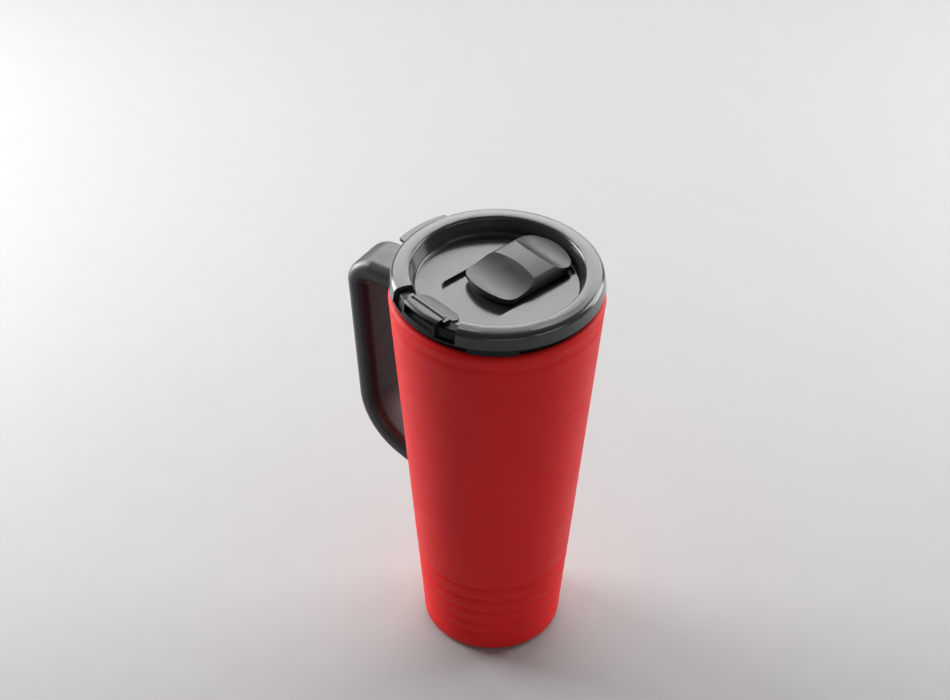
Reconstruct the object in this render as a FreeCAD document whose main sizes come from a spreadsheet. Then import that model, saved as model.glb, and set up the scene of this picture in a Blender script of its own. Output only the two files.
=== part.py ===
import FreeCAD, Part
import math
import os
import Sketcher

# Insulated travel mug: a tapered double-wall body with a side handle, and a press-in
# lid that carries a sliding drink closure and a small hinged vent flap.
# Millimetres. Origin: centre of the base's flat face. +Z: up, along the mug's axis.
# The handle points along -X. Lid parts are drawn in the lid's own frame, whose origin
# is the centre of the body's rim and whose +X is the line that the slider follows;
# the sheet's lid_turn then turns them about the mug's axis.

DIMENSIONS = {
    # Outer shell
    "rim_height": 200.0,
    "cone_radius": 50.0,
    "cone_slope": 0.0834,
    "shell_wall": 1.0,
    "shoulder_round": 2.5,
    "rim_flat_radius": 47.5,
    "rim_weld_radius": 46.6,
    "base_round": 2.5,
    "base_flange_radius": 26.3,
    "neck_line_drop": 7.6,
    "line_depth": 0.3,
    "line_half_width": 0.6,
    "rib_drop": 154.7,
    "rib_pitch": 8.45,
    "rib_depth": 0.55,
    "rib_half_width": 0.9,
    "rib_band_round": 22.0,
    # How far a cutting tool reaches past the piece that it cuts
    "tool_reach": 1.0,
    # Inner liner
    "liner_wall": 0.8,
    "mouth_radius": 44.2,
    "mouth_depth": 16.0,
    "liner_neck_radius": 43.7,
    "liner_neck_drop": 22.0,
    "liner_floor": 7.0,
    "liner_floor_radius": 28.3,
    "liner_corner": 8.0,
    # Base
    "base_gap": 1.0,
    "base_cap_radius": 30.8,
    "base_cap_wall": 0.8,
    "seal_hole_radius": 1.2,
    "seal_bead_radius": 2.6,
    "seal_bead_height": 0.7,
    "seal_bead_edge": 0.3,
    "getter_radius": 5.0,
    "getter_height": 1.5,
    "getter_offset": 14.0,
    "foot_radius": 28.8,
    "foot_boss_radius": 26.1,
    "foot_recess_radius": 4.0,
    "foot_edge": 0.5,
    "foot_groove_start": 8.0,
    "foot_groove_pitch": 6.0,
    "foot_groove_width": 1.0,
    "foot_groove_depth": 0.4,
    # Handle
    "handle_width": 25.0,
    "handle_depth": 11.0,
    "handle_round": 4.9,
    "grip_skin": 2.4,
    "core_round": 2.4,
    "arm_drop": 10.7,
    "grip_radius": 72.9,
    "upper_bend": 9.5,
    "lower_bend": 31.0,
    "lower_bend_height": 115.5,
    "lower_arm_slope": 22.0,
    "tongue_length": 12.0,
    "tongue_width": 10.0,
    "tongue_height": 3.4,
    "pad_width": 15.0,
    "pad_height": 7.0,
    "pad_wall": 1.6,
    "bracket_root": 6.0,
    "screw_radius": 1.5,
    "screw_head_radius": 2.8,
    "screw_head_height": 1.8,
    "screw_recess_radius": 3.1,
    "screw_reach": 7.0,
    "screw_inset": 0.6,
    "screw_tip_gap": 0.3,
    # Lid cover
    "lid_turn": 75.5,
    "ring_radius": 49.5,
    "ring_lip": 4.4,
    "ring_crest_radius": 41.2,
    "ring_crest": 12.1,
    "ring_round": 3.0,
    "ring_side_radius": 48.84,
    "ring_side_height": 8.84,
    "ring_top_radius": 45.84,
    "ring_top_height": 11.84,
    "ring_crown": 14.0,
    "ring_inner_round": 1.4,
    "ring_inner_radius": 39.8,
    "ring_inner_height": 10.8,
    "tray_radius": 38.2,
    "tray_corner": 1.8,
    "tray_height": 3.4,
    "cover_wall": 2.0,
    "cover_low": -0.1,
    "track_half_width": 17.8,
    "track_start": 24.9,
    "track_end": 36.9,
    "track_floor": 1.4,
    "track_end_round": 27.0,
    "track_corner": 5.0,
    "notch_angle": 50.0,
    "tab_reach": 53.6,
    "tab_half_width": 13.9,
    "tab_low": 6.0,
    "tab_wall": 1.8,
    "drink_center": 25.5,
    "drink_length": 9.0,
    "drink_width": 16.0,
    "drink_round_share": 0.8,
    "vent_center": 35.5,
    "vent_radius": 1.8,
    "vent_boss_radius": 3.2,
    "vent_boss_top": 4.9,
    # Lid base
    "fit_gap": 0.15,
    "skirt_radius": 48.9,
    "skirt_top": 4.2,
    "skirt_bottom": 3.3,
    "shadow_radius": 46.4,
    "rim_gap": 0.12,
    "plug_radius": 43.2,
    "plug_depth": 17.0,
    "plug_wall": 2.6,
    "plug_bevel": 0.8,
    "plate_wall": 2.0,
    "gasket_drop": 10.5,
    "gasket_height": 3.0,
    "gasket_seat": 41.9,
    "gasket_radius": 44.12,
    "gasket_valley": 0.8,
    "gasket_lip_start": 0.5,
    "gasket_lip_end": 0.9,
    "lug_angle": 28.0,
    "lug_radius": 48.1,
    "hood_inset": 0.2,
    "hood_inner": 43.0,
    "hood_half_width": 10.8,
    "hood_top": 12.2,
    "window_half_width": 9.6,
    "window_bottom": 6.9,
    "window_top": 11.1,
    "window_back": 38.5,
    "ear_inner": 39.9,
    "ear_half_width": 12.6,
    "ear_wall": 2.0,
    "ear_top": 11.7,
    "ear_root": 0.5,
    # Flap
    "pin_center": 41.0,
    "pin_height": 10.3,
    "pin_radius": 0.8,
    "pin_clearance": 0.05,
    "barrel_radius": 1.65,
    "flap_gap": 0.3,
    "flap_tip": 31.8,
    "flap_tip_half_width": 8.6,
    "flap_wing_start": 39.0,
    "flap_wing": 36.2,
    "flap_wing_half_width": 12.4,
    "flap_wing_round": 5.0,
    "flap_tip_round": 60.0,
    "flap_rise": 1.7,
    "flap_sink": 1.1,
    "flap_wall": 1.8,
    "flap_slope": 22.0,
    "plug_pad_radius": 2.9,
    "nose_length": 1.0,
    "nose_gap": 0.2,
    "nose_tip_gap": 1.2,
    # Slider
    "slider_start": 11.0,
    "slider_end": 37.0,
    "slider_half_width": 15.7,
    "slider_end_round": 28.0,
    "slider_corner": 7.0,
    "slider_shoulder": 3.4,
    "slider_crest": 10.4,
    "slider_low": 1.55,
    "slider_crown": 90.0,
    "slider_undercut": 1.2,
    "undercut_top": 4.6,
    "crest_start": 11.8,
    "crest_end": 21.8,
    "scoop_near_round": 27.0,
    "scoop_near_edge": 7.2,
    "scoop_far_round": 16.5,
    "scoop_far_edge": 8.3,
    "plate_height": 1.2,
    "seal_gap": 0.05,
    "seal_margin": 2.0,
    "seal_width": 1.6,
    "seal_rise": 0.6,
    "magnet_radius": 3.0,
    "magnet_height": 1.2,
    "magnet_spread": 8.0,
    "magnet_at": 2.0,
    "slider_travel": 14.0,
}

RIB_COUNT = 5
FOOT_GROOVE_COUNT = 4
LUG_COUNT = 4
FULL_TURN = 360.0
SAME_POINT = 1e-6

doc = FreeCAD.newDocument("insulated_travel_mug")
sheet = doc.addObject("Spreadsheet::Sheet", "dims")
for row, (alias, size) in enumerate(DIMENSIONS.items(), start=1):
    sheet.set("A" + str(row), alias)
    sheet.set("B" + str(row), str(size))
    sheet.setAlias("B" + str(row), alias)
doc.recompute()

nodes = []


def value(formula):
    """Number that a sheet formula gives now."""
    return float(sheet.evalExpression(formula))


def bind(thing, sizes):
    """Ties properties of an object to sheet formulas."""
    for path, formula in sizes.items():
        thing.setExpression(path, formula)
    return thing


def part(kind, name, sizes):
    """A Part object with its sizes tied to the sheet."""
    return bind(doc.addObject("Part::" + kind, name), sizes)


def cut(name, base, tool):
    result = doc.addObject("Part::Cut", name)
    result.Base = base
    result.Tool = tool
    return result


def fuse(name, shapes):
    result = doc.addObject("Part::MultiFuse", name)
    result.Shapes = shapes
    return result


def common(name, shapes):
    result = doc.addObject("Part::MultiCommon", name)
    result.Shapes = shapes
    return result


def group(name, things):
    """Several solids as one object."""
    result = doc.addObject("Part::Compound", name)
    result.Links = things
    return result


def keep(thing):
    """Marks an object as a finished piece of the mug."""
    thing.Label = thing.Name
    nodes.append(thing)
    return thing


def on_lid(thing):
    """Puts a piece drawn in the lid's frame in its place on the mug."""
    return bind(thing, {"Placement.Base.z": "dims.rim_height", "Placement.Rotation.Angle": "dims.lid_turn"})


def box(name, low, high):
    """Box between two corners given as sheet formulas."""
    sizes = {}
    for axis, size, start, end in zip("xyz", ("Length", "Width", "Height"), low, high):
        sizes["Placement.Base." + axis] = start
        sizes[size] = "(" + end + ") - (" + start + ")"
    return part("Box", name, sizes)


def cylinder(name, radius, low, high, x="0", y="0", sector="360", start="0"):
    """Upright cylinder or sector between two heights."""
    return part("Cylinder", name, {
        "Radius": radius, "Height": "(" + high + ") - (" + low + ")", "Angle": sector,
        "Placement.Base.x": x, "Placement.Base.y": y, "Placement.Base.z": low,
        "Placement.Rotation.Angle": start})


def origin_plane(body, role):
    return next(plane for plane in body.Origin.OriginFeatures if plane.Role == role)


def new_sketch(body, name, role, lift="0"):
    """Sketch on one of the body's origin planes, lifted along the plane's normal."""
    sketch = body.newObject("Sketcher::SketchObject", name)
    sketch.AttachmentSupport = [(origin_plane(body, role), "")]
    sketch.MapMode = "FlatFace"
    sketch.setExpression("AttachmentOffset.Base.z", lift)
    return sketch


def arc_through(start, end, radius):
    """Arc that bulges to the right of the line from start to end, or to the left if radius < 0."""
    chord = end - start
    half = chord.Length / 2
    rise = abs(radius) - math.sqrt(max(radius * radius - half * half, 0))
    side = FreeCAD.Vector(chord.y, -chord.x, 0).normalize()
    middle = (start + end) * 0.5 + side * math.copysign(rise, radius)
    return Part.Arc(start, middle, end)


def pin_point(sketch, geometry, which, corner):
    """Holds one end of a line or arc at a pair of sheet formulas."""
    for kind, formula in zip(("DistanceX", "DistanceY"), corner):
        index = sketch.addConstraint(Sketcher.Constraint(kind, -1, 1, geometry, which, value(formula)))
        sketch.setExpression("Constraints[" + str(index) + "]", formula)


def outline(sketch, corners, closed=True):
    """Outline of sheet formulas: (x, y) starts a line, (x, y, radius) starts an arc."""
    spots = [FreeCAD.Vector(value(corner[0]), value(corner[1]), 0) for corner in corners]
    sides = corners if closed else corners[:-1]
    ends = []
    for index, corner in enumerate(sides):
        start = spots[index]
        end = spots[(index + 1) % len(spots)]
        if len(corner) == 3:
            geometry = sketch.addGeometry(arc_through(start, end, value(corner[2])))
        else:
            geometry = sketch.addGeometry(Part.LineSegment(start, end))
        forward = sketch.getPoint(geometry, 1).distanceToPoint(start) < SAME_POINT
        ends.append((geometry, 1 if forward else 2, 2 if forward else 1))
    for index, corner in enumerate(sides):
        geometry, first, last = ends[index]
        if closed or index:
            previous = ends[index - 1]
            sketch.addConstraint(Sketcher.Constraint("Coincident", previous[0], previous[2],
                                                     geometry, first))
        pin_point(sketch, geometry, first, corner[:2])
        if len(corner) == 3:
            number = sketch.addConstraint(Sketcher.Constraint("Radius", geometry, abs(value(corner[2]))))
            sketch.setExpression("Constraints[" + str(number) + "]", "abs(" + corner[2] + ")")
    if not closed:
        pin_point(sketch, geometry, last, corners[-1])
    return sketch


def revolved(name, corners):
    """Body turned about the Z axis from an outline of radius and height."""
    body = doc.addObject("PartDesign::Body", name)
    sketch = outline(new_sketch(body, name + "_profile", "XZ_Plane"), corners)
    turn = body.newObject("PartDesign::Revolution", name + "_turn")
    turn.Profile = sketch
    turn.ReferenceAxis = (sketch, ["V_Axis"])
    turn.Angle = FULL_TURN
    doc.recompute()
    return body


def padded(name, corners, low, high):
    """Body with a flat outline raised between two heights."""
    body = doc.addObject("PartDesign::Body", name)
    sketch = outline(new_sketch(body, name + "_plan", "XY_Plane", low), corners)
    pad = body.newObject("PartDesign::Pad", name + "_pad")
    pad.Profile = sketch
    pad.setExpression("Length", "(" + high + ") - (" + low + ")")
    doc.recompute()
    return body


def rounded_rectangle(low_x, high_x, low_y, high_y, corner):
    """Corners of a rectangle with round corners, counterclockwise."""
    return [
        ("(" + low_x + ") + " + corner, low_y),
        ("(" + high_x + ") - " + corner, low_y, corner),
        (high_x, "(" + low_y + ") + " + corner),
        (high_x, "(" + high_y + ") - " + corner, corner),
        ("(" + high_x + ") - " + corner, high_y),
        ("(" + low_x + ") + " + corner, high_y, corner),
        (low_x, "(" + high_y + ") - " + corner),
        (low_x, "(" + low_y + ") + " + corner, corner),
    ]


def bowed_outline(start, end, half, end_round, corner):
    """Corners of a rectangle whose ends bow out and run smoothly into its round corners."""
    sine = "(((" + half + ") - (" + corner + ")) / ((" + end_round + ") - (" + corner + ")))"
    cosine = "sqrt(1 - " + sine + " ^ 2)"
    side_at = "((" + end_round + ") - ((" + end_round + ") - (" + corner + ")) * " + cosine + ")"
    bow_at = "(" + end_round + ") * (1 - " + cosine + ")"
    bow_y = "(" + end_round + ") * " + sine
    low_side = "(" + start + ") + " + side_at
    high_side = "(" + end + ") - " + side_at
    low_bow = "(" + start + ") + " + bow_at
    high_bow = "(" + end + ") - " + bow_at
    return [
        (low_side, "-" + half),
        (high_side, "-" + half, corner),
        (high_bow, "-" + bow_y, end_round),
        (high_bow, bow_y, corner),
        (high_side, half),
        (low_side, half, corner),
        (low_bow, bow_y, end_round),
        (low_bow, "-" + bow_y, corner),
    ]


def wall_radius(height):
    """Formula for the shell's outer radius at a height."""
    return "(dims.cone_radius - dims.cone_slope * (dims.rim_height - (" + height + ")))"


def score(height, depth, half_width, band_round=None):
    """Three corners of a V line pressed into the shell, going up."""
    below = "(" + height + ") - " + half_width
    above = "(" + height + ") + " + half_width
    upper = (wall_radius(above), above)
    if band_round:
        upper = upper + (band_round,)
    return [(wall_radius(below), below), (wall_radius(height) + " - " + depth, height), upper]


# ---------------------------------------------------------------- body of the mug

def make_outer_shell():
    """Tapered steel shell with a round shoulder, a neck line and ribs near its foot."""
    corner_top = "dims.base_gap + dims.base_round"
    corners = [
        ("dims.base_flange_radius", "dims.base_gap"),
        (wall_radius(corner_top) + " - dims.base_round", "dims.base_gap", "dims.base_round"),
        (wall_radius(corner_top), corner_top),
    ]
    for rib in reversed(range(RIB_COUNT)):
        height = "dims.rim_height - dims.rib_drop - dims.rib_pitch * " + str(rib)
        band = "dims.rib_band_round" if rib else None
        corners += score(height, "dims.rib_depth", "dims.rib_half_width", band)
    corners += score("dims.rim_height - dims.neck_line_drop", "dims.line_depth", "dims.line_half_width")
    shoulder = "dims.rim_height - dims.shoulder_round"
    below_shoulder = shoulder + " - dims.shell_wall"
    corners += [
        (wall_radius(shoulder), shoulder, "dims.shoulder_round"),
        ("dims.rim_flat_radius", "dims.rim_height"),
        ("dims.rim_weld_radius", "dims.rim_height"),
        ("dims.rim_weld_radius", "dims.rim_height - dims.shell_wall"),
        ("dims.rim_flat_radius", "dims.rim_height - dims.shell_wall"),
        (wall_radius(below_shoulder) + " - dims.shell_wall", below_shoulder),
        (wall_radius(corner_top) + " - dims.shell_wall", corner_top),
        (wall_radius(corner_top) + " - dims.base_round", "dims.base_gap + dims.shell_wall"),
        ("dims.base_flange_radius", "dims.base_gap + dims.shell_wall"),
    ]
    return keep(revolved("outer_shell", corners))


def make_inner_liner():
    """Drinking cup: a straight mouth for the gasket, a taper and a round bottom corner."""
    mouth = "dims.rim_height - dims.mouth_depth"
    neck = "dims.rim_height - dims.liner_neck_drop"
    cone_low = "dims.liner_floor + dims.liner_corner"
    inside_round = "-(dims.liner_corner - dims.liner_wall)"
    return keep(revolved("inner_liner", [
        ("0", "dims.liner_floor"),
        ("dims.liner_floor_radius + dims.liner_wall - dims.liner_corner", "dims.liner_floor",
         "dims.liner_corner"),
        ("dims.liner_floor_radius + dims.liner_wall", cone_low),
        ("dims.liner_neck_radius + dims.liner_wall", neck),
        ("dims.mouth_radius + dims.liner_wall", mouth),
        ("dims.mouth_radius + dims.liner_wall", "dims.rim_height - dims.liner_wall"),
        ("dims.rim_weld_radius", "dims.rim_height - dims.liner_wall"),
        ("dims.rim_weld_radius", "dims.rim_height"),
        ("dims.mouth_radius", "dims.rim_height"),
        ("dims.mouth_radius", mouth),
        ("dims.liner_neck_radius", neck),
        ("dims.liner_floor_radius", cone_low, inside_round),
        ("dims.liner_floor_radius + dims.liner_wall - dims.liner_corner",
         "dims.liner_floor + dims.liner_wall"),
        ("0", "dims.liner_floor + dims.liner_wall"),
    ]))


def make_base_pieces():
    """Welded base disc, the bead that seals the vacuum, the getter and the rubber foot."""
    cap_low = "dims.base_gap + dims.shell_wall"
    cap_high = cap_low + " + dims.base_cap_wall"
    keep(revolved("base_cap", [
        ("dims.seal_hole_radius", cap_low),
        ("dims.base_cap_radius", cap_low),
        ("dims.base_cap_radius", cap_high),
        ("dims.seal_hole_radius", cap_high),
    ]))
    keep(revolved("vacuum_seal_bead", [
        ("0", cap_low + " - dims.seal_bead_height"),
        ("dims.seal_hole_radius", cap_low + " - dims.seal_bead_height"),
        ("dims.seal_bead_radius", cap_low + " - dims.seal_bead_edge"),
        ("dims.seal_bead_radius", cap_low),
        ("dims.seal_hole_radius", cap_low),
        ("dims.seal_hole_radius", cap_high),
        ("0", cap_high),
    ]))
    keep(cylinder("getter", "dims.getter_radius", cap_high, cap_high + " + dims.getter_height",
                  x="dims.getter_offset"))
    foot = [("0", "0")]
    for groove in range(FOOT_GROOVE_COUNT):
        inner = "dims.foot_groove_start + dims.foot_groove_pitch * " + str(groove)
        outer = inner + " + dims.foot_groove_width"
        foot += [(inner, "0"), (inner, "dims.foot_groove_depth"), (outer, "dims.foot_groove_depth"),
                 (outer, "0")]
    foot += [
        ("dims.foot_radius - dims.foot_edge", "0"),
        ("dims.foot_radius", "dims.foot_edge"),
        ("dims.foot_radius", "dims.base_gap"),
        ("dims.foot_boss_radius", "dims.base_gap"),
        ("dims.foot_boss_radius", cap_low),
        ("dims.foot_recess_radius", cap_low),
        ("dims.foot_recess_radius", "dims.base_gap"),
        ("0", "dims.base_gap"),
    ]
    keep(revolved("foot_pad", foot))


# ---------------------------------------------------------------- handle

def handle_route():
    """Corner formulas of the handle's centre line in the XZ plane: arm, bend, grip, bend, arm."""
    arm = "(dims.rim_height - dims.arm_drop)"
    lean = "atan(dims.cone_slope)"
    slope = "(dims.lower_arm_slope * 1 deg)"
    trim = "dims.upper_bend * tan(45 deg - " + lean + " / 2)"
    grip_top = ("(-dims.grip_radius + " + trim + " * sin(" + lean + "))",
                "(" + arm + " - " + trim + " * cos(" + lean + "))")
    grip_end = ("(" + grip_top[0] + " + (" + grip_top[1] + " - dims.lower_bend_height) * dims.cone_slope)",
                "dims.lower_bend_height")
    bend_end = ("(" + grip_end[0] + " + dims.lower_bend * (cos(" + lean + ") - sin(" + slope + ")))",
                "(" + grip_end[1] + " + dims.lower_bend * (sin(" + lean + ") - cos(" + slope + ")))")
    tip = ("-dims.liner_floor_radius",
           bend_end[1] + " - (-dims.liner_floor_radius - " + bend_end[0] + ") * tan(" + slope + ")")
    return [
        ("-dims.mouth_radius", arm),
        ("-dims.grip_radius + " + trim, arm, "dims.upper_bend"),
        grip_top,
        grip_end + ("dims.lower_bend",),
        bend_end,
        tip,
    ]


def handle_spots():
    """The same corners as points."""
    return [FreeCAD.Vector(value(corner[0]), value(corner[1]), 0) for corner in handle_route()]


def handle_blank(name, inset, corner):
    """Solid swept along the handle's centre line, its section smaller by the inset all round."""
    body = doc.addObject("PartDesign::Body", name)
    route = handle_route()
    path = outline(new_sketch(body, name + "_path", "XZ_Plane"), route, closed=False)
    section = new_sketch(body, name + "_section", "YZ_Plane", "-dims.mouth_radius")
    half_width = "(dims.handle_width / 2 - " + inset + ")"
    half_depth = "(dims.handle_depth / 2 - " + inset + ")"
    middle = "(dims.rim_height - dims.arm_drop)"
    outline(section, rounded_rectangle("-" + half_width, half_width, middle + " - " + half_depth,
                                       middle + " + " + half_depth, corner))
    doc.recompute()
    pipe = body.newObject("PartDesign::AdditivePipe", name + "_pipe")
    pipe.Profile = section
    pipe.Spine = (path, ["Edge" + str(number) for number in range(1, len(route))])
    doc.recompute()
    return body


def make_handle():
    """Two steel brackets on the shell, a rigid core, its soft grip and the screws."""
    spots = handle_spots()
    slope = "dims.lower_arm_slope"
    wall = part("Cone", "handle_wall", {
        "Radius1": wall_radius("0"), "Radius2": "dims.cone_radius", "Height": "dims.rim_height"})
    brackets = []
    screws = []
    recesses = []
    for name, spot, angle in (("upper", spots[1], "0"), ("lower", spots[4], slope)):
        brackets.append(keep(make_bracket(name, spot, angle, wall)))
        screws.append(make_screw(name, spot, angle))
        recesses.append(make_recess(name, spot, angle))
    tools = fuse("handle_tools", brackets + screws + recesses + [wall])
    core_blank = handle_blank("core_blank", "dims.grip_skin", "dims.core_round")
    grip_blank = handle_blank("grip_blank", "0", "dims.handle_round")
    keep(cut("handle_core", core_blank, tools))
    keep(cut("handle_grip", grip_blank, fuse("grip_tools", [tools, core_blank])))
    keep(group("handle_screws", screws))


def arm_frame(spot, slope):
    """Placement formulas of a handle arm: +X runs towards the mug, +Z is the arm's top."""
    return {"Placement.Base.x": str(spot.x), "Placement.Base.z": str(spot.y),
            "Placement.Rotation.Angle": slope}


def set_on_arm(thing, spot, slope):
    """Turns a piece drawn about the arm's centre line and moves it onto the arm."""
    thing.Placement.Rotation = FreeCAD.Rotation(FreeCAD.Vector(0, 1, 0), 1)
    return bind(thing, arm_frame(spot, slope))


def make_bracket(name, spot, slope, wall):
    """Pad welded to the shell with a tongue that reaches into the handle's arm."""
    reach = value(wall_radius(str(spot.y)))
    gap = -spot.x - reach
    tongue = box(name + "_tongue", [str(gap) + " - dims.tongue_length", "-dims.tongue_width / 2",
                                    "-dims.tongue_height / 2"],
                 [str(gap) + " + dims.bracket_root", "dims.tongue_width / 2", "dims.tongue_height / 2"])
    pad = box(name + "_pad", [str(gap) + " - dims.pad_wall", "-dims.pad_width / 2", "-dims.pad_height / 2"],
              [str(gap) + " + dims.bracket_root", "dims.pad_width / 2", "dims.pad_height / 2"])
    blank = set_on_arm(fuse(name + "_bracket_blank", [tongue, pad]), spot, slope)
    drilled = cut(name + "_bracket_drilled", blank, make_screw(name + "_bore", spot, slope))
    return cut(name + "_bracket", drilled, wall)


def screw_place(spot):
    """Distance along the arm from its bend to the screw."""
    reach = value(wall_radius(str(spot.y)))
    return str(-spot.x - reach) + " - dims.screw_reach"


def make_screw(name, spot, slope):
    """Pan-head screw that goes up through the arm into the tongue."""
    along = screw_place(spot)
    seat = "-dims.handle_depth / 2 + dims.screw_inset"
    head_top = seat + " + dims.screw_head_height"
    head = cylinder(name + "_head", "dims.screw_head_radius", seat, head_top, x=along)
    shank = cylinder(name + "_shank", "dims.screw_radius", head_top,
                     "dims.tongue_height / 2 - dims.screw_tip_gap", x=along)
    return set_on_arm(fuse(name + "_screw", [head, shank]), spot, slope)


def make_recess(name, spot, slope):
    """Counterbore in the arm's underside for the screw's head."""
    low = "-dims.handle_depth / 2 - dims.tool_reach"
    high = "-dims.handle_depth / 2 + dims.screw_inset + dims.screw_head_height"
    hole = cylinder(name + "_counterbore", "dims.screw_recess_radius", low, high, x=screw_place(spot))
    return set_on_arm(hole, spot, slope)


# ---------------------------------------------------------------- lid

def drink_outline(margin):
    """Rounded drink opening across the slider's line, larger by a margin."""
    half_length = "(dims.drink_length / 2 + " + margin + ")"
    half_width = "(dims.drink_width / 2 + " + margin + ")"
    return rounded_rectangle("dims.drink_center - " + half_length, "dims.drink_center + " + half_length,
                             "-" + half_width, half_width, half_length + " * dims.drink_round_share")


def lid_holes(name, low, high):
    """Drink opening and vent bore between two heights."""
    drink = padded(name + "_drink", drink_outline("0"), low, high)
    vent = cylinder(name + "_vent", "dims.vent_radius", low, high, x="-dims.vent_center")
    return [drink, vent]


def magnet_discs(name, low, places):
    """Small magnets in pairs beside the slider's line."""
    discs = []
    for place in places:
        for side in ("-", ""):
            discs.append(cylinder(name + str(len(discs)), "dims.magnet_radius", low,
                                  low + " + dims.magnet_height", x=place,
                                  y=side + "dims.magnet_spread"))
    return discs


def make_lid_cover():
    """Glossy top: a rounded ring, the tray with the slider's track, and the pull tab."""
    turned = revolved("cover_turned", [
        ("0", "dims.cover_low"),
        ("dims.tray_radius + dims.cover_wall", "dims.cover_low"),
        ("dims.ring_inner_radius + dims.cover_wall", "dims.ring_crest - dims.cover_wall"),
        ("dims.ring_top_radius", "dims.ring_top_height - dims.cover_wall",
         "-(dims.ring_round - dims.cover_wall)"),
        ("dims.ring_side_radius - dims.cover_wall", "dims.ring_side_height"),
        ("dims.ring_radius - dims.cover_wall", "dims.ring_lip"),
        ("dims.ring_radius", "dims.ring_lip"),
        ("dims.ring_side_radius", "dims.ring_side_height", "dims.ring_round"),
        ("dims.ring_top_radius", "dims.ring_top_height", "dims.ring_crown"),
        ("dims.ring_crest_radius", "dims.ring_crest", "dims.ring_inner_round"),
        ("dims.ring_inner_radius", "dims.ring_inner_height"),
        ("dims.tray_radius", "dims.tray_height + dims.tray_corner", "-dims.tray_corner"),
        ("dims.tray_radius - dims.tray_corner", "dims.tray_height"),
        ("0", "dims.tray_height"),
    ])
    tab_side = "sqrt(dims.tab_reach ^ 2 - dims.tab_half_width ^ 2)"
    tab_plate = padded("tab_plate", [
        ("-dims.tab_half_width", "dims.ring_crest_radius"),
        ("dims.tab_half_width", "dims.ring_crest_radius"),
        ("dims.tab_half_width", tab_side, "dims.tab_reach"),
        ("-dims.tab_half_width", tab_side),
    ], "dims.tab_low", "dims.tab_low + dims.tab_wall")
    tab_core = cylinder("tab_core", "dims.ring_radius - dims.tool_reach", "0", "dims.ring_crest")
    tab = cut("tab", tab_plate, tab_core)
    above_ring = "dims.ring_crest + dims.tool_reach"
    boss = cylinder("vent_boss", "dims.vent_boss_radius", "dims.tray_height - dims.tool_reach",
                    "dims.vent_boss_top", x="-dims.vent_center")
    sector = cylinder("notch_sector", "dims.ring_radius + dims.tool_reach", "dims.tray_height", above_ring,
                      sector="dims.notch_angle", start="180 - dims.notch_angle / 2")
    hub = cylinder("notch_hub", "dims.tray_radius - dims.tray_corner", "0", above_ring)
    notch = cut("notch", sector, hub)
    track_plan = padded("track_plan", bowed_outline(
        "-dims.track_start", "dims.track_end + dims.track_corner", "dims.track_half_width",
        "dims.track_end_round", "dims.track_corner"), "dims.track_floor", "dims.vent_boss_top")
    track_limit = cylinder("track_limit", "dims.track_end", "0", "dims.ring_crest")
    track = common("track", [track_plan, track_limit])
    magnet_places = ["dims.magnet_at", "dims.magnet_at - dims.slider_travel"]
    pockets = magnet_discs("cover_pocket", "dims.cover_low", magnet_places)
    holes = lid_holes("cover_hole", "dims.cover_low - dims.tool_reach",
                      "dims.vent_boss_top + dims.tool_reach")
    notched = cut("cover_notched", turned, notch)
    raised = fuse("cover_raised", [notched, tab, boss])
    keep(on_lid(cut("lid_cover", raised, fuse("cover_cuts", [track] + pockets + holes))))
    discs = magnet_discs("lid_magnet", "dims.cover_low", magnet_places)
    keep(on_lid(group("lid_magnets", discs)))


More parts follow.
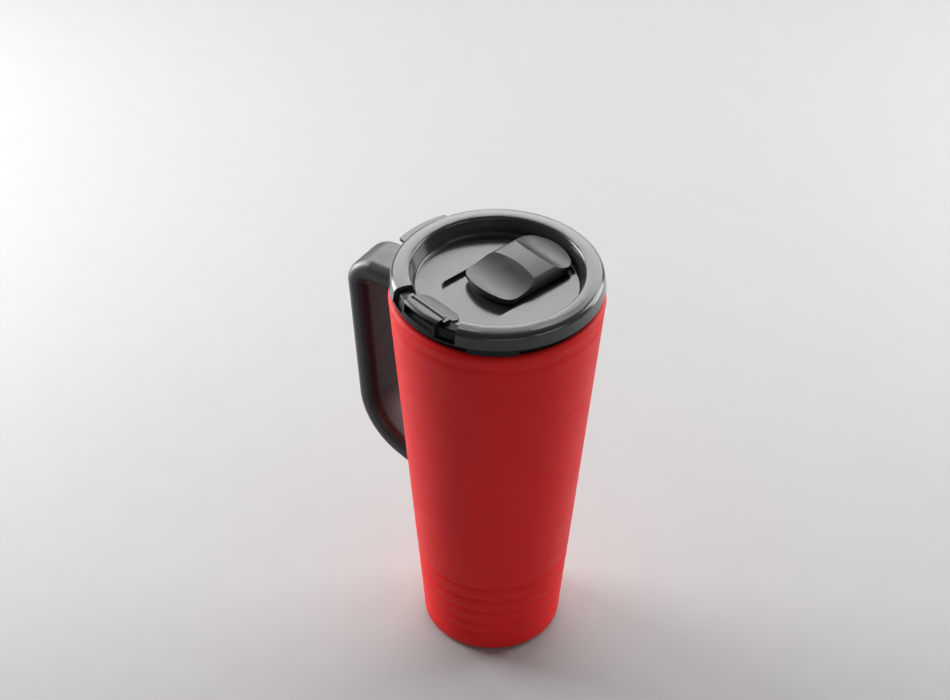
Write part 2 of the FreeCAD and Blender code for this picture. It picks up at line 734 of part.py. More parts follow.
def make_lid_base():
    """Dark core of the lid: rounded ring, skirt, plug wall, top plate, lugs and window hood."""
    under = "(dims.cover_wall + dims.fit_gap)"
    plate_top = "dims.cover_low - dims.fit_gap"
    plate_low = plate_top + " - dims.plate_wall"
    gasket_low = "-dims.gasket_drop - dims.gasket_height"
    turned = revolved("base_turned", [
        ("0", plate_low),
        ("dims.plug_radius - dims.plug_wall", plate_low),
        ("dims.plug_radius - dims.plug_wall", "-dims.plug_depth"),
        ("dims.plug_radius - dims.plug_bevel", "-dims.plug_depth"),
        ("dims.plug_radius", "-dims.plug_depth + dims.plug_bevel"),
        ("dims.plug_radius", gasket_low),
        ("dims.gasket_seat", gasket_low),
        ("dims.gasket_seat", "-dims.gasket_drop"),
        ("dims.plug_radius", "-dims.gasket_drop"),
        ("dims.plug_radius", "dims.rim_gap"),
        ("dims.shadow_radius", "dims.rim_gap"),
        ("dims.shadow_radius", "dims.skirt_bottom"),
        ("dims.skirt_radius", "dims.skirt_bottom"),
        ("dims.skirt_radius", "dims.skirt_top"),
        ("dims.ring_radius - " + under, "dims.skirt_top"),
        ("dims.ring_side_radius - " + under, "dims.ring_side_height", "dims.ring_round - " + under),
        ("dims.ring_top_radius", "dims.ring_top_height - " + under),
        ("dims.ring_inner_radius + " + under, "dims.ring_crest - " + under),
        ("dims.tray_radius + " + under, plate_top),
        ("0", plate_top),
    ])
    hood_ring = revolved("hood_ring", [
        ("dims.hood_inner", "dims.skirt_top"),
        ("dims.ring_radius - dims.hood_inset", "dims.skirt_top"),
        ("dims.ring_side_radius - dims.hood_inset", "dims.ring_side_height", "dims.ring_round"),
        ("dims.ring_top_radius - dims.hood_inset", "dims.hood_top"),
        ("dims.hood_inner", "dims.hood_top"),
    ])
    above_hood = "dims.hood_top + dims.tool_reach"
    hood_block = box("hood_block", ["-dims.ring_radius", "-dims.hood_half_width", "dims.skirt_top"],
                     ["0", "dims.hood_half_width", "dims.hood_top"])
    hood = common("hood", [hood_ring, hood_block])
    ears = []
    near = "(dims.ear_half_width - dims.ear_wall)"
    for name, low_y, high_y in (("left_ear", near, "dims.ear_half_width"),
                                ("right_ear", "-dims.ear_half_width", "-" + near)):
        ears.append(box(name, ["-dims.hood_inner - dims.ear_root", low_y, "dims.window_bottom"],
                        ["-dims.ear_inner", high_y, "dims.ear_top"]))
    lugs = [make_lug(number) for number in range(LUG_COUNT)]
    raised = fuse("base_raised", [turned, hood] + ears + lugs)
    window = box("window", ["-dims.ring_radius", "-dims.window_half_width", "dims.window_bottom"],
                 ["-dims.window_back", "dims.window_half_width", "dims.window_top"])
    flap_bay = box("flap_bay", ["-dims.hood_inner", "-" + near, "dims.window_bottom"],
                   ["-dims.flap_tip", near, above_hood])
    wing_reach = "(dims.flap_wing_half_width + dims.flap_gap)"
    wing_bay = box("wing_bay", ["-dims.ear_inner", "-" + wing_reach, "dims.window_bottom"],
                   ["-dims.flap_tip", wing_reach, above_hood])
    bore = along_y("pin_bore", "dims.pin_radius", "dims.ear_half_width + dims.tool_reach")
    holes = lid_holes("base_hole", plate_low + " - dims.tool_reach", plate_top + " + dims.tool_reach")
    keep(on_lid(cut("lid_base", raised, fuse("base_cuts", [window, flap_bay, wing_bay, bore] + holes))))


def make_lug(number):
    """One of the four lugs under the skirt that stand the lid on the rim."""
    start = str(FULL_TURN / LUG_COUNT * (number + 0.5)) + " - dims.lug_angle / 2"
    outer = cylinder("lug_outer" + str(number), "dims.lug_radius", "dims.rim_gap",
                     "dims.skirt_bottom", sector="dims.lug_angle", start=start)
    inner = cylinder("lug_inner" + str(number), "dims.shadow_radius - dims.tool_reach", "0",
                     "dims.skirt_top")
    return cut("lug" + str(number), outer, inner)


def along_y(name, radius, half_length):
    """Cylinder that lies along Y at the flap pin's place."""
    thing = part("Cylinder", name, {"Radius": radius, "Height": "2 * (" + half_length + ")"})
    thing.Placement.Rotation = FreeCAD.Rotation(FreeCAD.Vector(1, 0, 0), -90)
    return bind(thing, {"Placement.Base.x": "-dims.pin_center", "Placement.Base.y": "-Height / 2",
                        "Placement.Base.z": "dims.pin_height"})


def make_lid_gasket():
    """Silicone ring in the plug's groove, with two small lips."""
    low = "-dims.gasket_drop - dims.gasket_height"
    middle = "-dims.gasket_drop - dims.gasket_height / 2"
    lip = "dims.gasket_radius"
    valley = "dims.gasket_radius - dims.gasket_valley"
    keep(on_lid(revolved("lid_gasket", [
        ("dims.gasket_seat", low),
        (valley, low),
        (lip, low + " + dims.gasket_lip_start"),
        (lip, low + " + dims.gasket_lip_end"),
        (valley, middle),
        (lip, "-dims.gasket_drop - dims.gasket_lip_end"),
        (lip, "-dims.gasket_drop - dims.gasket_lip_start"),
        (valley, "-dims.gasket_drop"),
        ("dims.gasket_seat", "-dims.gasket_drop"),
    ])))


# ---------------------------------------------------------------- flap

def flap_slab(name, height):
    """Box whose underside is the flap's sloping underside."""
    slab = part("Box", name, {"Length": "dims.pin_center", "Width": "2 * dims.ear_half_width",
                              "Height": height})
    slab.Placement.Rotation = FreeCAD.Rotation(FreeCAD.Vector(0, 1, 0), 1)
    return bind(slab, {"Placement.Rotation.Angle": "dims.flap_slope",
                       "Placement.Base.x": "-dims.pin_center",
                       "Placement.Base.y": "-dims.ear_half_width",
                       "Placement.Base.z": "dims.pin_height - dims.flap_sink"})


def make_flap():
    """Leaf-shaped flap on a pin behind the hood, and the soft plug that closes the vent."""
    reach_y = "(dims.ear_half_width - dims.ear_wall - dims.flap_gap)"
    top = "dims.pin_height + dims.flap_rise"
    low = "dims.tray_height"
    plan = padded("flap_plan", [
        ("-dims.pin_center", "-" + reach_y),
        ("-dims.flap_wing_start", "-" + reach_y),
        ("-dims.flap_wing_start", "-dims.flap_wing_half_width"),
        ("-dims.flap_wing", "-dims.flap_wing_half_width", "dims.flap_wing_round"),
        ("-dims.flap_tip", "-dims.flap_tip_half_width", "dims.flap_tip_round"),
        ("-dims.flap_tip", "dims.flap_tip_half_width", "dims.flap_wing_round"),
        ("-dims.flap_wing", "dims.flap_wing_half_width"),
        ("-dims.flap_wing_start", "dims.flap_wing_half_width"),
        ("-dims.flap_wing_start", reach_y),
        ("-dims.pin_center", reach_y),
    ], low, top)
    leaf = common("flap_leaf", [plan, flap_slab("flap_slab", "dims.flap_wall")])
    barrel = along_y("flap_barrel", "dims.barrel_radius", reach_y)
    bore = along_y("flap_bore", "dims.pin_radius + dims.pin_clearance", "dims.ear_half_width")
    keep(on_lid(cut("flap", fuse("flap_solid", [leaf, barrel]), bore)))
    pin = along_y("pin_rod", "dims.pin_radius", "dims.ear_half_width")
    keep(on_lid(group("flap_hinge_pin", [pin])))
    pad = cylinder("plug_pad", "dims.plug_pad_radius", "dims.vent_boss_top + dims.fit_gap",
                   "dims.pin_height", x="-dims.vent_center")
    nose = part("Cone", "plug_nose", {
        "Radius1": "dims.vent_radius - dims.nose_tip_gap", "Radius2": "dims.vent_radius - dims.nose_gap",
        "Height": "dims.nose_length + dims.fit_gap", "Placement.Base.x": "-dims.vent_center",
        "Placement.Base.z": "dims.vent_boss_top - dims.nose_length"})
    above = flap_slab("plug_trim", "dims.pin_height")
    keep(on_lid(cut("flap_plug", fuse("plug_blank", [pad, nose]), above)))


# ---------------------------------------------------------------- slider

def slider_outline(inset):
    """Plan of the slider, smaller by the inset all round."""
    return bowed_outline("-dims.slider_start + " + inset, "dims.slider_end - " + inset,
                         "(dims.slider_half_width - " + inset + ")",
                         "dims.slider_end_round - " + inset, "dims.slider_corner - " + inset)


def slider_bar():
    """Bar along the slider's line whose top is gently crowned, with round shoulders."""
    body = doc.addObject("PartDesign::Body", "slider_bar")
    sketch = new_sketch(body, "slider_bar_section", "YZ_Plane", "-dims.ring_radius")
    half = "dims.slider_half_width"
    inner_half = "(" + half + " - dims.slider_shoulder)"
    reach = "(dims.slider_crown - dims.slider_shoulder)"
    rise = "sqrt(" + reach + " ^ 2 - " + inner_half + " ^ 2)"
    crown_low = "dims.slider_crest - dims.slider_crown + "
    side_top = crown_low + rise
    top_y = inner_half + " * dims.slider_crown / " + reach
    top_z = crown_low + rise + " * dims.slider_crown / " + reach
    outline(sketch, [
        ("-" + half, "0"),
        (half, "0"),
        (half, side_top, "dims.slider_shoulder"),
        (top_y, top_z, "dims.slider_crown"),
        ("-" + top_y, top_z, "dims.slider_shoulder"),
        ("-" + half, side_top),
    ])
    pad = body.newObject("PartDesign::Pad", "slider_bar_pad")
    pad.Profile = sketch
    pad.setExpression("Length", "2 * dims.ring_radius")
    doc.recompute()
    return body


def scoop(name, start, end, radius):
    """Cylinder across the slider that hollows its top between two points."""
    first = FreeCAD.Vector(value(start[0]), value(start[1]), 0)
    last = FreeCAD.Vector(value(end[0]), value(end[1]), 0)
    size = value(radius)
    chord = last - first
    rise = math.sqrt(size * size - chord.Length ** 2 / 4)
    center = (first + last) * 0.5 + FreeCAD.Vector(-chord.y, chord.x, 0).normalize() * rise
    roller = part("Cylinder", name, {"Radius": radius, "Height": "4 * dims.slider_half_width"})
    far_side = value("2 * dims.slider_half_width")
    roller.Placement = FreeCAD.Placement(FreeCAD.Vector(center.x, far_side, center.y),
                                         FreeCAD.Rotation(FreeCAD.Vector(1, 0, 0), 90))
    return roller


def make_slider():
    """Closure that slides over the drink opening: cap with two thumb hollows, plate, seal, magnets."""
    bottom = "dims.slider_low"
    plate_top = bottom + " + dims.plate_height"
    upper = padded("slider_upper", slider_outline("0"), "dims.undercut_top", "dims.slider_crest")
    lower = padded("slider_lower", slider_outline("dims.slider_undercut"), plate_top,
                   "dims.undercut_top")
    blank = common("slider_blank", [fuse("slider_solid", [upper, lower]), slider_bar()])
    near = scoop("scoop_near", ("-dims.slider_start", "dims.scoop_near_edge"),
                 ("dims.crest_start", "dims.slider_crest"), "dims.scoop_near_round")
    far = scoop("scoop_far", ("dims.crest_end", "dims.slider_crest"),
                ("dims.slider_end", "dims.scoop_far_edge"), "dims.scoop_far_round")
    pockets = magnet_discs("slider_pocket", plate_top, ["dims.magnet_at"])
    keep(on_lid(cut("slider_cap", blank, fuse("slider_cuts", [near, far] + pockets))))
    discs = magnet_discs("slider_magnet", plate_top, ["dims.magnet_at"])
    keep(on_lid(group("slider_magnets", discs)))
    seal_low = "dims.track_floor + dims.seal_gap"
    seal_high = bottom + " + dims.seal_rise"
    ring_outer = padded("seal_outer", drink_outline("dims.seal_margin"), seal_low, seal_high)
    ring_inner = padded("seal_inner", drink_outline("dims.seal_margin - dims.seal_width"), "0",
                        "dims.slider_crest")
    groove_outer = padded("groove_outer", drink_outline("dims.seal_margin"), seal_low, seal_high)
    keep(on_lid(cut("slider_seal", ring_outer, ring_inner)))
    plate_blank = padded("plate_blank", slider_outline("dims.slider_undercut"), bottom, plate_top)
    keep(on_lid(cut("slider_plate", plate_blank, cut("seal_groove", groove_outer, ring_inner))))


make_outer_shell()
make_inner_liner()
make_base_pieces()
make_handle()
make_lid_cover()
make_lid_base()
make_lid_gasket()
make_flap()
make_slider()
doc.recompute()

for thing in doc.Objects:
    if "Invalid" in thing.State or "Error" in thing.State:
        raise RuntimeError(thing.Name + " failed: " + str(thing.State))
for node in nodes:
    if node.Shape.isNull() or not node.Shape.isValid() or not node.Shape.Solids:
        raise RuntimeError(node.Name + " has no valid shape")

os.makedirs("parts", exist_ok=True)
for node in nodes:
    node.Shape.exportStep("parts/" + node.Label + ".step")
    print(node.Label, len(node.Shape.Solids), round(node.Shape.Volume / 1000, 2), "cm3")
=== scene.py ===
import math

import bmesh
import bpy
from mathutils import Matrix, Vector


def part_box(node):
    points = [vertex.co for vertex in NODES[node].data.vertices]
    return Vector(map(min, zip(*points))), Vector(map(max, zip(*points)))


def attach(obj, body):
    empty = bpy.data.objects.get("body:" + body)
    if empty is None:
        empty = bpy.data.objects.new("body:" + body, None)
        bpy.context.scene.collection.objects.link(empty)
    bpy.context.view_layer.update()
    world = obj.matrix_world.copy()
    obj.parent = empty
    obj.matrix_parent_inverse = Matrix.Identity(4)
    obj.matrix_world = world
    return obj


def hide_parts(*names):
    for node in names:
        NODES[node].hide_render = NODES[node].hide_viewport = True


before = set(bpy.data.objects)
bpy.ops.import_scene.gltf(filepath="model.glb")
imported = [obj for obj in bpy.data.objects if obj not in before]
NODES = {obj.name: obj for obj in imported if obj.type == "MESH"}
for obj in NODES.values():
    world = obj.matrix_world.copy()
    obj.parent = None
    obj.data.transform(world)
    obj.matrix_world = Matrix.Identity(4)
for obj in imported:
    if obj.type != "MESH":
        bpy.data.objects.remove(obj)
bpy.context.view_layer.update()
MM = 0.001

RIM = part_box("inner_liner")[1].z


# ---------------------------------------------------------------- camera and light

def make_camera():
    """A long lens that looks down at the lid and the handle from the front right."""
    azimuth, elevation, roll = math.radians(-57.0), math.radians(39.1), math.radians(-0.64)
    target = Vector((-0.00827, -0.00537, 0.16484))
    distance = 1.16
    back = Vector((math.cos(azimuth) * math.cos(elevation), math.sin(azimuth) * math.cos(elevation),
                   math.sin(elevation)))
    data = bpy.data.cameras.new("camera")
    data.sensor_width = 36
    data.lens = 94.74
    data.clip_start, data.clip_end = 0.05, 50
    camera = bpy.data.objects.new("camera", data)
    camera.location = target + back * distance
    camera.rotation_mode = "QUATERNION"
    camera.rotation_quaternion = ((-back).to_track_quat("-Z", "Y")
                                  @ Matrix.Rotation(-roll, 3, "Z").to_quaternion())
    bpy.context.collection.objects.link(camera)
    bpy.context.scene.camera = camera
    return azimuth


def make_softbox(name, angle, distance, height, size, power, aim_height, view_angle):
    """Rectangular area light; its angle is measured round the mug from the camera, in degrees."""
    turn = view_angle + math.radians(angle)
    data = bpy.data.lights.new(name, "AREA")
    data.shape = "RECTANGLE"
    data.size, data.size_y = size
    data.energy = power
    light = bpy.data.objects.new(name, data)
    light.location = (math.cos(turn) * distance, math.sin(turn) * distance, height)
    aim = Vector((0, 0, aim_height)) - light.location
    light.rotation_mode = "QUATERNION"
    light.rotation_quaternion = aim.to_track_quat("-Z", "Y")
    bpy.context.collection.objects.link(light)


def make_lights(view_angle):
    """Soft studio light: a wide box and two strips behind the mug, side boxes and weak front ones."""
    # name: angle, distance, height, (width, length), power, height aimed at
    boxes = {
        "behind": (180, 1.5, 1.1, (2.6, 0.9), 30, 0.2),
        "low_strip": (168, 1.6, 0.34, (1.3, 0.5), 3, 0.2),
        "left_side": (-118, 0.8, 0.38, (0.4, 0.75), 9, 0.14),
        "right_side": (118, 0.8, 0.38, (0.4, 0.75), 5, 0.14),
        "front_fill": (8, 1.5, 0.4, (1.1, 0.6), 1.5, 0.14),
        "crest_strip": (180, 1.2, 1.78, (1.8, 0.14), 4, 0.2),
        "front_right": (52, 1.2, 0.5, (0.7, 0.5), 1.6, 0.2),
    }
    for name, settings in boxes.items():
        make_softbox(name, *settings, view_angle)
    world = bpy.data.worlds.new("studio")
    world.use_nodes = True
    background = world.node_tree.nodes["Background"]
    background.inputs["Color"].default_value = (0.82, 0.84, 0.85, 1)
    background.inputs["Strength"].default_value = 0.12
    bpy.context.scene.world = world
    bpy.context.scene.view_settings.view_transform = "Standard"


# ---------------------------------------------------------------- materials

class Look:
    """A procedural material: a Principled shader and the small chains of nodes that feed it."""

    def __init__(self, name, color, roughness, **sockets):
        self.material = bpy.data.materials.new(name)
        self.material.use_nodes = True
        self.tree = self.material.node_tree
        self.shader = self.tree.nodes["Principled BSDF"]
        self.shader.inputs["Base Color"].default_value = (*color, 1)
        self.shader.inputs["Roughness"].default_value = roughness
        for socket, value in sockets.items():
            self.shader.inputs[socket.replace("_", " ")].default_value = value
        self.place = self.node("ShaderNodeTexCoord").outputs["Object"]
        self.bump = None

    def node(self, kind, **settings):
        made = self.tree.nodes.new(kind)
        for name, value in settings.items():
            setattr(made, name, value)
        return made

    def link(self, start, end):
        self.tree.links.new(start, end)

    def noise(self, scale, detail=3.0, stretch=(1, 1, 1)):
        """Noise over the object's own place; scale is in features per metre."""
        mapping = self.node("ShaderNodeMapping")
        mapping.inputs["Scale"].default_value = stretch
        noise = self.node("ShaderNodeTexNoise")
        noise.inputs["Scale"].default_value = scale
        noise.inputs["Detail"].default_value = detail
        self.link(self.place, mapping.inputs["Vector"])
        self.link(mapping.outputs["Vector"], noise.inputs["Vector"])
        return noise.outputs["Fac"]

    def remap(self, value, low, high, start=0.3, end=0.7):
        ramp = self.node("ShaderNodeMapRange")
        ramp.inputs["From Min"].default_value = start
        ramp.inputs["From Max"].default_value = end
        ramp.inputs["To Min"].default_value = low
        ramp.inputs["To Max"].default_value = high
        self.link(value, ramp.inputs["Value"])
        return ramp.outputs["Result"]

    def vary_color(self, value, first, second, start=0.3, end=0.7):
        mix = self.node("ShaderNodeMix", data_type="RGBA")
        mix.inputs["A"].default_value = (*first, 1)
        mix.inputs["B"].default_value = (*second, 1)
        self.link(self.remap(value, 0, 1, start, end), mix.inputs["Factor"])
        self.link(mix.outputs["Result"], self.shader.inputs["Base Color"])

    def vary_roughness(self, value, low, high):
        self.link(self.remap(value, low, high), self.shader.inputs["Roughness"])

    def relief(self, value, depth, strength=1.0):
        """Adds a layer of bump of the given depth in metres."""
        bump = self.node("ShaderNodeBump")
        bump.inputs["Distance"].default_value = depth
        bump.inputs["Strength"].default_value = strength
        self.link(value, bump.inputs["Height"])
        if self.bump:
            self.link(self.bump.outputs["Normal"], bump.inputs["Normal"])
        self.link(bump.outputs["Normal"], self.shader.inputs["Normal"])
        self.bump = bump


def red_coat():
    """Soft matte powder coat: fine orange peel, faint cloudiness, roughness that varies in patches."""
    look = Look("red_coat", (0.78, 0.012, 0.013), 0.5, Specular_IOR_Level=0.2)
    look.vary_color(look.noise(28, 4), (0.76, 0.011, 0.012), (0.8, 0.013, 0.014))
    look.vary_roughness(look.noise(90, 5), 0.42, 0.54)
    look.relief(look.noise(1100, 2), 0.00004, 0.5)
    look.relief(look.noise(5200, 2), 0.000015, 0.5)
    return look.material


def brushed_steel():
    look = Look("brushed_steel", (0.62, 0.61, 0.6), 0.28, Metallic=1.0)
    lines = look.noise(900, 4, (0.05, 0.05, 6))
    look.vary_roughness(lines, 0.2, 0.38)
    look.vary_color(look.noise(60, 4), (0.58, 0.57, 0.56), (0.66, 0.65, 0.64))
    look.relief(lines, 0.00001, 0.6)
    return look.material


def soft_grip():
    """Soft-touch moulded rubber with a fine grain, and a painted sheen: its top and outer side are made
    shinier to stand in for the light falling there.
    """
    look = Look("soft_grip", (0.022, 0.026, 0.029), 0.4)
    # Painted sheen: the specular level rises with the normal's Z minus 0.6 of its X, so the top and
    # outer side are brightest.
    split = look.node("ShaderNodeSeparateXYZ")
    look.link(look.node("ShaderNodeTexCoord").outputs["Normal"], split.inputs["Vector"])
    inward = look.node("ShaderNodeMath", operation="MULTIPLY_ADD")
    inward.inputs[1].default_value = -0.6
    look.link(split.outputs["X"], inward.inputs[0])
    look.link(split.outputs["Z"], inward.inputs[2])
    painted_sheen = look.remap(inward.outputs["Value"], 0.12, 1.0, -0.4, 0.6)
    look.link(painted_sheen, look.shader.inputs["Specular IOR Level"])
    look.vary_color(look.noise(45, 4), (0.02, 0.024, 0.027), (0.024, 0.028, 0.031))
    look.vary_roughness(look.noise(140, 4), 0.36, 0.46)
    look.relief(look.noise(3200, 2), 0.00002, 0.4)
    return look.material


def moulded_plastic():
    look = Look("moulded_plastic", (0.03, 0.032, 0.034), 0.45)
    look.vary_color(look.noise(60, 3), (0.027, 0.029, 0.031), (0.033, 0.035, 0.037))
    look.vary_roughness(look.noise(200, 4), 0.38, 0.5)
    look.relief(look.noise(4000, 2), 0.00002, 0.4)
    return look.material


def gloss_cover():
    """Glossy smoke-grey plastic: faint flow marks and hairline scratches."""
    look = Look("gloss_cover", (0.035, 0.038, 0.04), 0.2, Coat_Weight=0.5, Coat_Roughness=0.16)
    look.vary_color(look.noise(30, 3), (0.033, 0.036, 0.038), (0.039, 0.042, 0.044))
    look.vary_roughness(look.noise(160, 6), 0.18, 0.24)
    look.relief(look.noise(420, 3, (1, 6, 1)), 0.000003, 0.3)
    return look.material


def lid_dark():
    """Satin black plastic of the lid's core, with a painted sheen that makes the top of the window hood
    shinier.
    """
    look = Look("lid_dark", (0.009, 0.01, 0.011), 0.3)
    # Painted sheen: the specular level rises with height over the piece.
    split = look.node("ShaderNodeSeparateXYZ")
    look.link(look.node("ShaderNodeTexCoord").outputs["Generated"], split.inputs["Vector"])
    painted_sheen = look.remap(split.outputs["Z"], 0.2, 0.85, 0.955, 0.985)
    look.link(painted_sheen, look.shader.inputs["Specular IOR Level"])
    look.vary_color(look.noise(50, 3), (0.008, 0.009, 0.01), (0.01, 0.011, 0.012))
    look.vary_roughness(look.noise(180, 4), 0.29, 0.31)
    look.relief(look.noise(3000, 2), 0.000002, 0.3)
    return look.material


def slider_satin():
    """Satin plastic with a fine spark-eroded grain."""
    look = Look("slider_satin", (0.04, 0.043, 0.045), 0.32)
    look.vary_color(look.noise(60, 3), (0.037, 0.04, 0.042), (0.044, 0.047, 0.049))
    look.vary_roughness(look.noise(220, 4), 0.28, 0.38)
    look.relief(look.noise(4200, 2), 0.000012, 0.5)
    return look.material


def flap_gloss():
    look = Look("flap_gloss", (0.036, 0.039, 0.041), 0.2, Coat_Weight=0.5, Coat_Roughness=0.16)
    look.vary_color(look.noise(70, 3), (0.033, 0.036, 0.038), (0.04, 0.043, 0.045))
    look.vary_roughness(look.noise(240, 4), 0.18, 0.28)
    look.relief(look.noise(3600, 2), 0.000003, 0.3)
    return look.material


def silicone():
    look = Look("silicone", (0.09, 0.092, 0.094), 0.5, Subsurface_Weight=0.05)
    look.vary_color(look.noise(80, 3), (0.08, 0.082, 0.084), (0.1, 0.102, 0.104))
    look.vary_roughness(look.noise(300, 4), 0.42, 0.58)
    look.relief(look.noise(2600, 2), 0.00001, 0.5)
    return look.material


def plated(name, color, roughness):
    look = Look(name, color, roughness, Metallic=1.0)
    dark = tuple(channel * 0.85 for channel in color)
    look.vary_color(look.noise(300, 4), dark, color)
    look.vary_roughness(look.noise(500, 4), roughness * 0.7, roughness * 1.3)
    look.relief(look.noise(1500, 3), 0.000005, 0.5)
    return look.material


def foot_rubber():
    look = Look("foot_rubber", (0.02, 0.02, 0.021), 0.65)
    look.vary_color(look.noise(120, 4), (0.017, 0.017, 0.018), (0.03, 0.029, 0.028))
    look.vary_roughness(look.noise(260, 4), 0.55, 0.75)
    look.relief(look.noise(1800, 3), 0.00004, 0.6)
    return look.material


def floor_paper():
    look = Look("floor_paper", (0.45, 0.452, 0.452), 0.7)
    look.vary_color(look.noise(3, 3), (0.445, 0.447, 0.447), (0.455, 0.457, 0.457))
    look.vary_roughness(look.noise(60, 4), 0.65, 0.75)
    look.relief(look.noise(900, 3), 0.00003, 0.3)
    return look.material


def dress_nodes():
    """Gives every CAD piece that stays in view its material."""
    looks = {
        "outer_shell": red_coat(), "handle_grip": soft_grip(), "handle_core": moulded_plastic(),
        "lid_cover": gloss_cover(), "lid_base": lid_dark(), "slider_cap": slider_satin(),
        "flap": flap_gloss(), "foot_pad": foot_rubber(),
        "vacuum_seal_bead": plated("braze", (0.55, 0.48, 0.36), 0.45),
        "getter": plated("getter_alloy", (0.4, 0.4, 0.42), 0.6),
        "handle_screws": plated("zinc_plate", (0.58, 0.58, 0.6), 0.3),
        "flap_hinge_pin": plated("ground_pin", (0.6, 0.6, 0.6), 0.22),
    }
    steel, rubber = brushed_steel(), silicone()
    nickel = plated("nickel_plate", (0.75, 0.74, 0.72), 0.18)
    for name in ("inner_liner", "base_cap", "upper_bracket", "lower_bracket"):
        looks[name] = steel
    for name in ("lid_gasket", "slider_seal", "flap_plug"):
        looks[name] = rubber
    for name in ("lid_magnets", "slider_magnets"):
        looks[name] = nickel
    looks["slider_plate"] = looks["lid_base"]
    for name, node in NODES.items():
        node.data.materials.clear()
        node.data.materials.append(looks[name])
    return looks


# ---------------------------------------------------------------- finer shapes

def soften(name, width, sharp_angle=32):
    """Rounds the sharp edges of a CAD piece and keeps its flat faces flat."""
    node = NODES[name]
    node.data.attributes.remove(node.data.attributes["custom_normal"])
    node.data.shade_smooth()
    weld = node.modifiers.new("weld", "WELD")
    weld.merge_threshold = 1e-6
    flat = node.modifiers.new("flat_faces", "DECIMATE")
    flat.decimate_type = "DISSOLVE"
    flat.angle_limit = math.radians(0.5)
    rounding = node.modifiers.new("edge_round", "BEVEL")
    rounding.width = width
    rounding.segments = 3
    rounding.limit_method = "ANGLE"
    rounding.angle_limit = math.radians(sharp_angle)
    rounding.harden_normals = True


def lathe(name, profile, steps=256):
    """Closed ring of the profile's (radius, height) points, turned about the mug's axis."""
    verts, faces = [], []
    for step in range(steps):
        angle = 2 * math.pi * step / steps
        verts += [(radius * math.cos(angle), radius * math.sin(angle), height)
                  for radius, height in profile]
    count = len(profile)
    for step in range(steps):
        here, there = step * count, (step + 1) % steps * count
        for index in range(count):
            after = (index + 1) % count
            faces.append((here + index, there + index, there + after, here + after))
    mesh = bpy.data.meshes.new(name)
    mesh.from_pydata(verts, [], faces)
    mesh.shade_smooth()
    piece = bpy.data.objects.new(name, mesh)
    bpy.context.collection.objects.link(piece)
    return piece


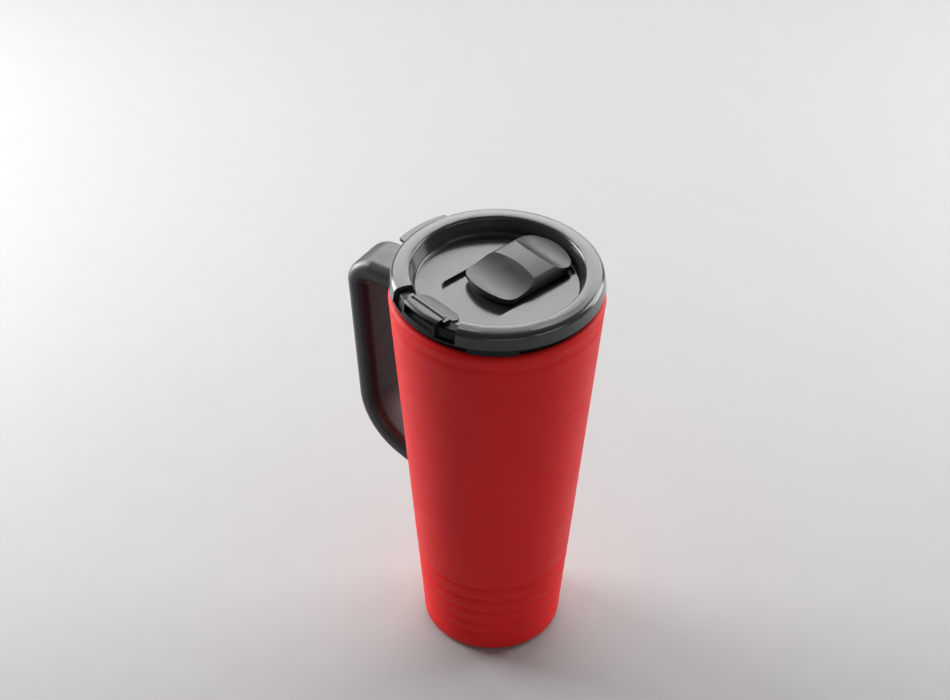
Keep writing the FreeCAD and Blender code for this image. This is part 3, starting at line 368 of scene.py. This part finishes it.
def make_coated_shell():
    """Outer shell with rolled, soft-edged ribs near the foot and a soft neck line."""
    wall, low, round_low, round_top = 1.0 * MM, 1.0 * MM, 2.5 * MM, 2.5 * MM
    top_radius, slope = 50.0 * MM, 0.0834
    foot_opening, mouth_radius = 26.3 * MM, 46.6 * MM
    fine_step, coarse_step, step_gap = 0.22 * MM, 2.0 * MM, 0.5 * MM
    grooves = [(RIM - 7.6 * MM, 0.8 * MM, 1.5 * MM)]
    grooves += [(RIM - (154.7 + 8.45 * rib) * MM, 0.85 * MM, 2.3 * MM) for rib in range(5)]

    def radius_at(height):
        radius = top_radius - slope * (RIM - height)
        for middle, depth, half_width in grooves:
            away = abs(height - middle) / half_width
            if away < 1:
                radius -= depth * (0.5 + 0.5 * math.cos(math.pi * away))
        return radius

    def corner(center_r, center_z, radius, start, end, count=8):
        angles = [math.radians(start + (end - start) * step / count) for step in range(count + 1)]
        return [(center_r + radius * math.cos(angle), center_z + radius * math.sin(angle))
                for angle in angles]

    foot_z = low + round_low
    shoulder_z = RIM - round_top
    profile = [(foot_opening, low)]
    profile += corner(radius_at(foot_z) - round_low, foot_z, round_low, -90, 0)
    height = foot_z + step_gap
    while height < shoulder_z - step_gap:
        profile.append((radius_at(height), height))
        near = any(abs(height - middle) < half_width * 1.3 for middle, depth, half_width in grooves)
        height += fine_step if near else coarse_step
    profile += corner(radius_at(shoulder_z) - round_top, shoulder_z, round_top, 0, 90)
    profile += [(mouth_radius, RIM), (mouth_radius, RIM - wall)]
    profile += [(radius_at(shoulder_z) - round_top, RIM - wall),
                (radius_at(shoulder_z) - wall * 1.5, shoulder_z - wall),
                (top_radius - slope * (RIM - foot_z) - wall * 1.5, foot_z),
                (foot_opening, low + wall)]
    shell = lathe("coated_shell", profile)
    shell.data.materials.append(MATERIALS["outer_shell"])
    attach(shell, "mug")
    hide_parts("outer_shell")


def add_dash(mesh, middle, along, across, out):
    """One low tapered dash on the handle's skin."""
    length, width, rise, taper = 0.75 * MM, 0.3 * MM, 0.05 * MM, 0.6
    corners = []
    for scale, lift in ((1.0, -0.2 * MM), (taper, rise)):
        for end, side in ((-1, -1), (1, -1), (1, 1), (-1, 1)):
            corners.append(mesh.verts.new(
                middle + along * (end * length * scale) + across * (side * width * scale) + out * lift))
    mesh.faces.new(corners[4:])
    for index in range(4):
        after = (index + 1) % 4
        mesh.faces.new((corners[index], corners[after], corners[after + 4], corners[index + 4]))


def make_grip_dashes():
    """Rows of small raised dashes on the handle's top arm."""
    dashes = bmesh.new()
    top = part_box("handle_grip")[1].z
    along, side, up = Vector((1, 0, 0)), Vector((0, 1, 0)), Vector((0, 0, 1))
    start, pitch, row_pitch = -66.5 * MM, 2.3 * MM, 1.75 * MM
    for row in range(-2, 3):
        for step in range(2, 9):
            reach = start + pitch * (step + (row % 2) / 2)
            add_dash(dashes, Vector((reach, row * row_pitch, top)), along, side, up)
    bmesh.ops.recalc_face_normals(dashes, faces=dashes.faces)
    mesh = bpy.data.meshes.new("grip_dashes")
    dashes.to_mesh(mesh)
    dashes.free()
    piece = bpy.data.objects.new("grip_dashes", mesh)
    bpy.context.collection.objects.link(piece)
    piece.data.materials.append(MATERIALS["handle_grip"])
    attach(piece, "mug")


def make_floor():
    bpy.ops.mesh.primitive_circle_add(vertices=96, radius=6, fill_type="NGON", location=(0, 0, 0))
    floor = bpy.context.object
    floor.name = "floor"
    floor.data.materials.append(floor_paper())


view_angle = make_camera()
make_lights(view_angle)
make_floor()
MATERIALS = dress_nodes()
soften("lid_cover", 0.3 * MM)
soften("lid_base", 0.22 * MM)
soften("slider_cap", 0.3 * MM, 12)
soften("slider_plate", 0.2 * MM)
soften("flap", 0.35 * MM)
make_coated_shell()
make_grip_dashes()
